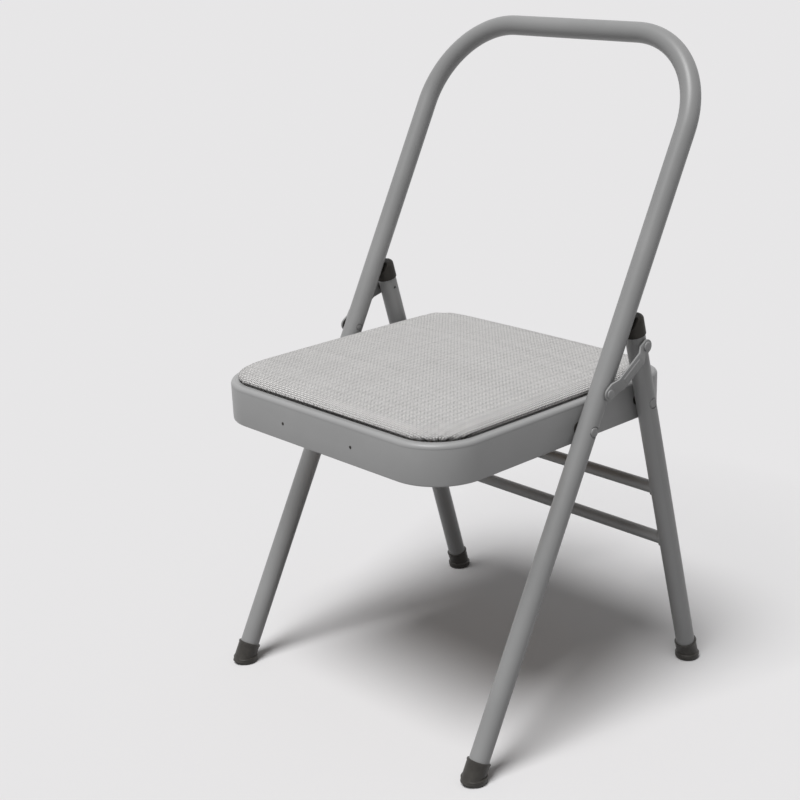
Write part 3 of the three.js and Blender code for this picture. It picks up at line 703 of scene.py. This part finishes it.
over = figure('FLOORED_MODULO', figure('ADD', warp_number, weft_number), 2)
under = figure('SUBTRACT', 1, over)
along = figure('ADD', figure('MULTIPLY', from_weft, over), figure('MULTIPLY', from_warp, under))
aside = figure('ADD', figure('MULTIPLY', from_warp, over), figure('MULTIPLY', from_weft, under))
length_fall = figure('POWER', figure('ABSOLUTE', figure('MULTIPLY', along, 1.45)), 3.0)
width_fall = figure('POWER', figure('ABSOLUTE', figure('MULTIPLY', aside, 2.3)), 2.2)
height = figure('MAXIMUM', figure('SUBTRACT', 1, figure('ADD', length_fall, width_fall)), 0)
twist = tree.nodes.new('ShaderNodeTexNoise')
twist.inputs['Scale'].default_value = 1300
twist.inputs['Detail'].default_value = 2
tree.links.new(place, twist.inputs['Vector'])
third = figure('SINE', figure('MULTIPLY', warp, 2 * math.pi / 3))
lift = figure('ADD', figure('ADD', 0.58, figure('MULTIPLY', over, 0.42)),
              figure('MULTIPLY', third, 0.14))
yarn_height = figure('ADD', figure('MULTIPLY', figure('POWER', height, 0.5), lift),
                     figure('MULTIPLY', twist.outputs['Fac'], 0.3))
numbers = tree.nodes.new('ShaderNodeCombineXYZ')
tree.links.new(figure('MULTIPLY', warp_number, over), numbers.inputs[0])
tree.links.new(figure('MULTIPLY', weft_number, under), numbers.inputs[1])
tree.links.new(over, numbers.inputs[2])
each = tree.nodes.new('ShaderNodeTexWhiteNoise')
tree.links.new(numbers.outputs[0], each.inputs['Vector'])
slub = tree.nodes.new('ShaderNodeTexNoise')
slub.inputs['Scale'].default_value = 160
slub.inputs['Detail'].default_value = 2
tree.links.new(place, slub.inputs['Vector'])
yarn = tree.nodes.new('ShaderNodeValToRGB')
yarn.color_ramp.elements[0].position = 0.12
yarn.color_ramp.elements[0].color = (0.06, 0.058, 0.056, 1)
yarn.color_ramp.elements[1].position = 0.95
yarn.color_ramp.elements[1].color = (0.88, 0.865, 0.855, 1)
middle = yarn.color_ramp.elements.new(0.5)
middle.color = (0.66, 0.65, 0.642, 1)
level = tree.nodes.new('ShaderNodeSeparateXYZ')
tree.links.new(place, level.inputs[0])
# Low on the pad's edge, towards the rim, the weave gets more contrast and is made darker. The
# darkening is painted shade, where the pad meets the rim.
open_weave_and_rim_shade = tree.nodes.new('ShaderNodeMapRange')
open_weave_and_rim_shade.inputs['From Min'].default_value = 0.4245
open_weave_and_rim_shade.inputs['From Max'].default_value = 0.4160
tree.links.new(level.outputs['Z'], open_weave_and_rim_shade.inputs['Value'])
mottle = figure('ADD', figure('MULTIPLY', each.outputs['Value'], 0.12),
                figure('MULTIPLY', slub.outputs['Fac'], 0.12))
strength = figure('ADD', 0.84, figure('MULTIPLY', open_weave_and_rim_shade.outputs['Result'], 0.8))
relief = figure('MULTIPLY', figure('SUBTRACT', yarn_height, 0.7), strength)
# Painted shade: the cloth's tone is lowered near the rim.
shade = figure('SUBTRACT', figure('ADD', figure('ADD', relief, 0.515), mottle),
               figure('MULTIPLY', open_weave_and_rim_shade.outputs['Result'], 0.13))
tree.links.new(shade, yarn.inputs['Fac'])
tree.links.new(yarn.outputs['Color'], shader.inputs['Base Color'])
shader.inputs['Roughness'].default_value = 0.9
shader.inputs['Specular IOR Level'].default_value = 0.15
shader.inputs['Sheen Weight'].default_value = 0.1
shader.inputs['Sheen Roughness'].default_value = 0.5
bump = tree.nodes.new('ShaderNodeBump')
bump.inputs['Strength'].default_value = 0.9
bump.inputs['Distance'].default_value = 0.0011
tree.links.new(yarn_height, bump.inputs['Height'])
tree.links.new(bump.outputs['Normal'], shader.inputs['Normal'])

bpy.ops.object.mode_set(mode='EDIT')
hem_half = pad_width / 2 - 0.012
pick('FACE', lambda f: f.normal.z < -0.8 and f.calc_center_median().z < pad_bottom + 0.002
     and abs(f.calc_center_median().x) < hem_half
     and abs(f.calc_center_median().y - pan_centre_y) < hem_half)
bpy.ops.mesh.delete(type='FACE')
bpy.ops.object.mode_set(mode='OBJECT')
bpy.ops.object.modifier_add(type='SOLIDIFY')
wall = pad.modifiers[-1]
wall.thickness = 0.0012
wall.offset = -1
bpy.ops.object.modifier_apply(modifier=wall.name)
bpy.ops.object.shade_smooth()
dress(pad, "linen_pad", linen, "linen_cover", "seat", "cushion_cover", "cushion_foam")
bpy.ops.object.select_all(action='DESELECT')

plywood = bpy.data.materials.new("birch_plywood")
plywood.use_nodes = True
tree = plywood.node_tree
shader = tree.nodes['Principled BSDF']
place = tree.nodes.new('ShaderNodeTexCoord').outputs['Object']
stretch = tree.nodes.new('ShaderNodeMapping')
stretch.inputs['Scale'].default_value = (40, 4, 120)
tree.links.new(place, stretch.inputs['Vector'])
grain = tree.nodes.new('ShaderNodeTexNoise')
grain.inputs['Scale'].default_value = 2
grain.inputs['Detail'].default_value = 7
grain.inputs['Distortion'].default_value = 0.6
tree.links.new(stretch.outputs['Vector'], grain.inputs['Vector'])
wood = tree.nodes.new('ShaderNodeValToRGB')
wood.color_ramp.elements[0].position = 0.35
wood.color_ramp.elements[0].color = (0.33, 0.19, 0.085, 1)
wood.color_ramp.elements[1].position = 0.7
wood.color_ramp.elements[1].color = (0.56, 0.37, 0.19, 1)
tree.links.new(grain.outputs['Fac'], wood.inputs['Fac'])
tree.links.new(wood.outputs['Color'], shader.inputs['Base Color'])
shader.inputs['Roughness'].default_value = 0.7
bump = tree.nodes.new('ShaderNodeBump')
bump.inputs['Strength'].default_value = 0.3
bump.inputs['Distance'].default_value = 0.0004
tree.links.new(grain.outputs['Fac'], bump.inputs['Height'])
tree.links.new(bump.outputs['Normal'], shader.inputs['Normal'])
nodes["cushion_board"].material_slots[0].material = plywood

# Fixings: low domed steel rivets through the tubes, painted with the frame, on nylon washers,
# plain pins at the upper link pivots and zinc-plated screws up into the pad's board.
zinc = bpy.data.materials.new("zinc_plate")
zinc.use_nodes = True
tree = zinc.node_tree
shader = tree.nodes['Principled BSDF']
place = tree.nodes.new('ShaderNodeTexCoord').outputs['Object']
bloom = tree.nodes.new('ShaderNodeTexNoise')
bloom.inputs['Scale'].default_value = 420
bloom.inputs['Detail'].default_value = 4
tree.links.new(place, bloom.inputs['Vector'])
plate = tree.nodes.new('ShaderNodeValToRGB')
plate.color_ramp.elements[0].color = (0.42, 0.43, 0.45, 1)
plate.color_ramp.elements[1].color = (0.66, 0.67, 0.68, 1)
tree.links.new(bloom.outputs['Fac'], plate.inputs['Fac'])
tree.links.new(plate.outputs['Color'], shader.inputs['Base Color'])
shader.inputs['Metallic'].default_value = 1
spread = tree.nodes.new('ShaderNodeMapRange')
spread.inputs['To Min'].default_value = 0.28
spread.inputs['To Max'].default_value = 0.5
tree.links.new(bloom.outputs['Fac'], spread.inputs['Value'])
tree.links.new(spread.outputs['Result'], shader.inputs['Roughness'])

clearance = 0.0003
link_washer = 0.001
link_thickness = 0.0025
head_seat = tube_outer + clearance
apron_x = pan_width / 2
tail_seat = apron_x - sheet - clearance - 0.002 - clearance
link_face = head_seat + link_washer + clearance
link_seat = link_face + link_thickness + 0.0001
shank = 0.003
head = 0.006


def rivet_head(seat):
    """The stations of a low, flat-topped rivet head from its seat outwards."""
    return [(seat, head), (seat + 0.0006, head), (seat + 0.0011, head * 0.96),
            (seat + 0.0014, head * 0.86), (seat + 0.0016, head * 0.6), (seat + 0.00165, head * 0.2)]


def ring(start, thickness, bore, rim):
    """The stations of a washer with its outer corners just broken, from its inner face outwards."""
    return [(start, bore), (start, rim - 0.0002), (start + 0.0002, rim),
            (start + thickness - 0.0002, rim), (start + thickness, rim - 0.0002),
            (start + thickness, bore)]


for side, sign in (("left", -1), ("right", 1)):
    outwards = (0, sign * math.pi / 2, 0)
    flat_seat = tube_outer - flat_depth
    for end, (y, z) in (("front", seat_front), ("rear", seat_rear)):
        rivet = turned([(tail_seat - 0.0022, head * 0.7), (tail_seat, head), (tail_seat, shank),
                        (flat_seat, shank), *rivet_head(flat_seat + 0.0001)],
                       36, (0, y, z), outwards)
        dress(rivet, f"pivot_rivet_{end}_{side}", grey_paint, "rivet_paint", "seat",
              f"seat_{end}_rivet_{side}")
        bpy.ops.object.select_all(action='DESELECT')
        washer = turned(ring(apron_x + clearance, 0.001, rivet_bore, 0.0075), 40,
                        (0, y, z), outwards)
        dress(washer, f"pivot_washer_{end}_{side}", nylon, "nylon", "seat",
              f"seat_{end}_washer_{side}")
        bpy.ops.object.select_all(action='DESELECT')
    for end, (y, z), body in (("lower", link_lower, "front_frame"),
                              ("upper", link_upper, "rear_legs")):
        washer = turned(ring(head_seat, link_washer, rivet_bore, 0.0075), 40, (0, y, z), outwards)
        dress(washer, f"link_spacer_{end}_{side}", nylon, "nylon", body,
              f"link_{end}_washer_{side}")
        bpy.ops.object.select_all(action='DESELECT')
    y, z = link_lower
    tail = tube_inner + clearance
    rivet = turned([(tail, 0.0016), (tail + 0.0002, 0.0026), (tail + 0.0005, 0.0034),
                    (tail + 0.0009, 0.0036), (tail + 0.0009, shank), (link_seat, shank),
                    *rivet_head(link_seat)], 36, (0, y, z), outwards)
    dress(rivet, f"link_foot_rivet_{side}", grey_paint, "rivet_paint", "front_frame",
          f"link_lower_rivet_{side}")
    bpy.ops.object.select_all(action='DESELECT')
    y, z = link_upper
    rivet = turned([(link_face, shank), (link_seat, shank), *rivet_head(link_seat)], 36,
                   (0, y, z), outwards)
    dress(rivet, f"link_head_rivet_{side}", grey_paint, "rivet_paint", "links",
          f"link_upper_rivet_{side}")
    bpy.ops.object.select_all(action='DESELECT')
    pin = turned([(tube_inner + 0.0040, shank - 0.0004), (tube_inner + 0.0046, shank),
                  (link_face - clearance, shank)], 32, (0, y, z), outwards)
    dress(pin, f"link_pin_{side}", zinc, "zinc_steel", "rear_legs", f"link_upper_pin_{side}")
    bpy.ops.object.select_all(action='DESELECT')

# Links: flat steel bars with round ends, cranked outwards between their two pivots to pass over
# the leg caps, stiffened by a pressed rib and coated with the frame.
link_span = math.dist(link_lower, link_upper)
link_rise = math.atan2(link_upper[1] - link_lower[1], link_upper[0] - link_lower[0])
link_end = 0.0085
link_waist = 0.0082
crank = 0.0050
crank_start = link_end + 0.0005
crank_end = crank_start + 0.0095
for side, sign in (("left", -1), ("right", 1)):
    bpy.ops.mesh.primitive_circle_add(vertices=48, radius=link_end, fill_type='NGON')
    link = bpy.context.object
    bpy.ops.object.mode_set(mode='EDIT')
    pick('VERT', lambda v: v.co.x > 0.00001)
    bpy.ops.transform.translate(value=(link_span, 0, 0))
    for x in (crank_start, crank_end, link_span - crank_end, link_span - crank_start):
        bpy.ops.mesh.select_all(action='SELECT')
        bpy.ops.mesh.bisect(plane_co=(x, 0, 0), plane_no=(1, 0, 0))
    pick('VERT', lambda v: crank_end - 0.0001 < v.co.x < link_span - crank_end + 0.0001)
    bpy.ops.transform.translate(value=(0, 0, crank))
    bpy.ops.transform.resize(value=(1, link_waist / link_end, 1), center_override=(0, 0, 0))
    pick('FACE', lambda f: abs(f.normal.z) > 0.99 and f.calc_center_median().z > crank / 2)
    bpy.ops.mesh.inset(thickness=0.0045)
    bpy.ops.transform.translate(value=(0, 0, 0.0001))
    bpy.ops.mesh.inset(thickness=0.0012)
    bpy.ops.transform.translate(value=(0, 0, 0.0011))
    bpy.ops.mesh.select_all(action='SELECT')
    bpy.ops.mesh.normals_make_consistent(inside=False)
    bpy.ops.object.mode_set(mode='OBJECT')
    upwards = sum(face.normal.z for face in link.data.polygons) > 0
    bpy.ops.object.modifier_add(type='SOLIDIFY')
    link.modifiers[-1].thickness = link_thickness
    link.modifiers[-1].offset = 1 if upwards else -1
    bpy.ops.object.modifier_apply(modifier=link.modifiers[-1].name)
    low = min(point.co.z for point in link.data.vertices)
    for point in link.data.vertices:
        point.co.z -= low
    soften(0.0005, 3, 35)
    bpy.ops.object.shade_smooth_by_angle(angle=math.radians(35))
    along_link = Vector((0, math.cos(link_rise), math.sin(link_rise)))
    outwards = Vector((sign, 0, 0))
    turn = Matrix((along_link, outwards.cross(along_link), outwards)).transposed().to_4x4()
    link.matrix_world = Matrix.Translation((sign * link_face, *link_lower)) @ turn
    bpy.ops.object.transform_apply(location=True, rotation=True, scale=True)
    dress(link, f"cranked_link_{side}", grey_paint, "frame_paint", "links", f"link_{side}")
    bpy.ops.object.select_all(action='DESELECT')

# Screws: four pan-head wood screws, zinc plated, driven up through the pan's ledge into the
# pad's board, each with a cross cut in its head.
ledge_under = pan_top - recess_depth - sheet - clearance
screw_tip = pad_bottom + 0.0012 + clearance + 0.006
for end, x, y in (("front", pan_width / 2 - front_corner, pan_front + 0.03275),
                  ("rear", pan_width / 2 - rear_corner, pan_front + pan_width - 0.03275)):
    for side, sign in (("left", -1), ("right", 1)):
        screw = turned([(ledge_under - 0.0030, 0.0030), (ledge_under - 0.0028, 0.0040),
                        (ledge_under - 0.0020, 0.0048), (ledge_under - 0.0010, 0.0050),
                        (ledge_under, 0.0050), (ledge_under, 0.0025), (screw_tip - 0.0015, 0.0025),
                        (screw_tip, 0.0012)], 32, (sign * x, y, 0), (0, 0, 0))
        for width, depth in ((0.0054, 0.0011), (0.0011, 0.0054)):
            bpy.ops.object.select_all(action='DESELECT')
            bpy.ops.mesh.primitive_cube_add(size=1, location=(sign * x, y, ledge_under - 0.0030))
            slot_cut = bpy.context.object
            slot_cut.scale = (width, depth, 0.0030)
            bpy.ops.object.transform_apply(location=True, rotation=True, scale=True)
            join_solids(screw, slot_cut, 'DIFFERENCE')
        bpy.ops.object.shade_smooth_by_angle(angle=math.radians(35))
        dress(screw, f"pad_screw_{end}_{side}", zinc, "zinc_steel", "seat",
              f"cushion_screw_{end}_{side}")
        bpy.ops.object.select_all(action='DESELECT')
